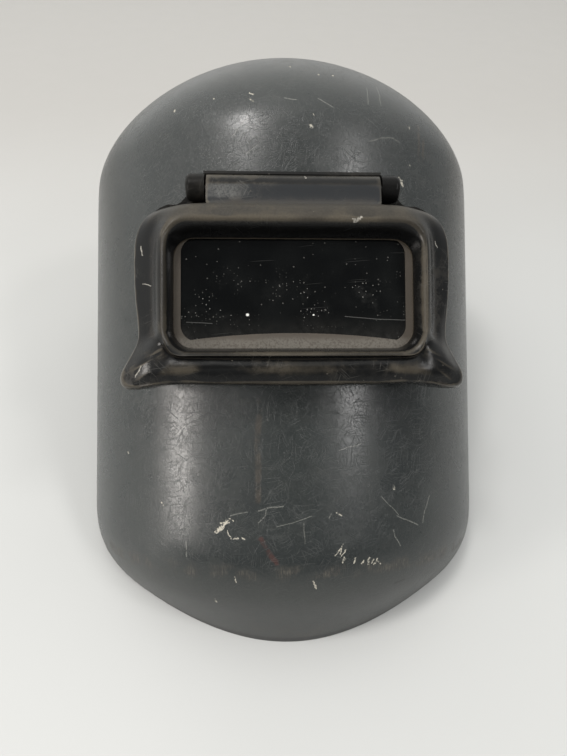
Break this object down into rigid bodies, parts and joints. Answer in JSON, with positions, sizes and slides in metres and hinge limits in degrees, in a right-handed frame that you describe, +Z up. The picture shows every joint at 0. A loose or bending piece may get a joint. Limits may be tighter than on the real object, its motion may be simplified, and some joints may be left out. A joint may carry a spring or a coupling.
{
  "type": "welding helmet",
  "caption": "Hard-shell welding helmet with a lift-front lens holder hinged over a fixed lens holder, lying on its rim.",
  "frame": {"origin": "on the ground, under the centre of the helmet's bounding box", "axes": "+Z up from the ground it lies on, +Y from the chin towards the crown's rear edge, +X to the right of someone who looks at the lens"},
  "size_m": [0.23, 0.3618, 0.2074],
  "materials": {
    "shell_plastic": "worn semi-gloss with fine scratches",
    "moulded_plastic": "glossy with grime and worn edges",
    "dark_glass": "polished, dusty",
    "clear_cover": "clear",
    "seal_strip": "dusty matte",
    "steel": "satin"
  },
  "bodies": {
    "helmet_shell": {"shell": "shell_plastic", "lens_base": "moulded_plastic", "base_clamp": "moulded_plastic", "clear_plate": "clear_cover", "hinge_pin": "steel"},
    "lift_front": {"lens_frame": "moulded_plastic", "lens_gasket": "seal_strip", "filter_lens": "dark_glass", "lens_retainer": "steel"}
  },
  "joints": [
    {"name": "lift_front_hinge", "type": "hinge", "parent": "helmet_shell", "child": "lift_front", "pos_m": [0, -0.05198, 0.17926], "axis": [-1, 0, 0], "range_deg": [0, 110]}
  ]
}
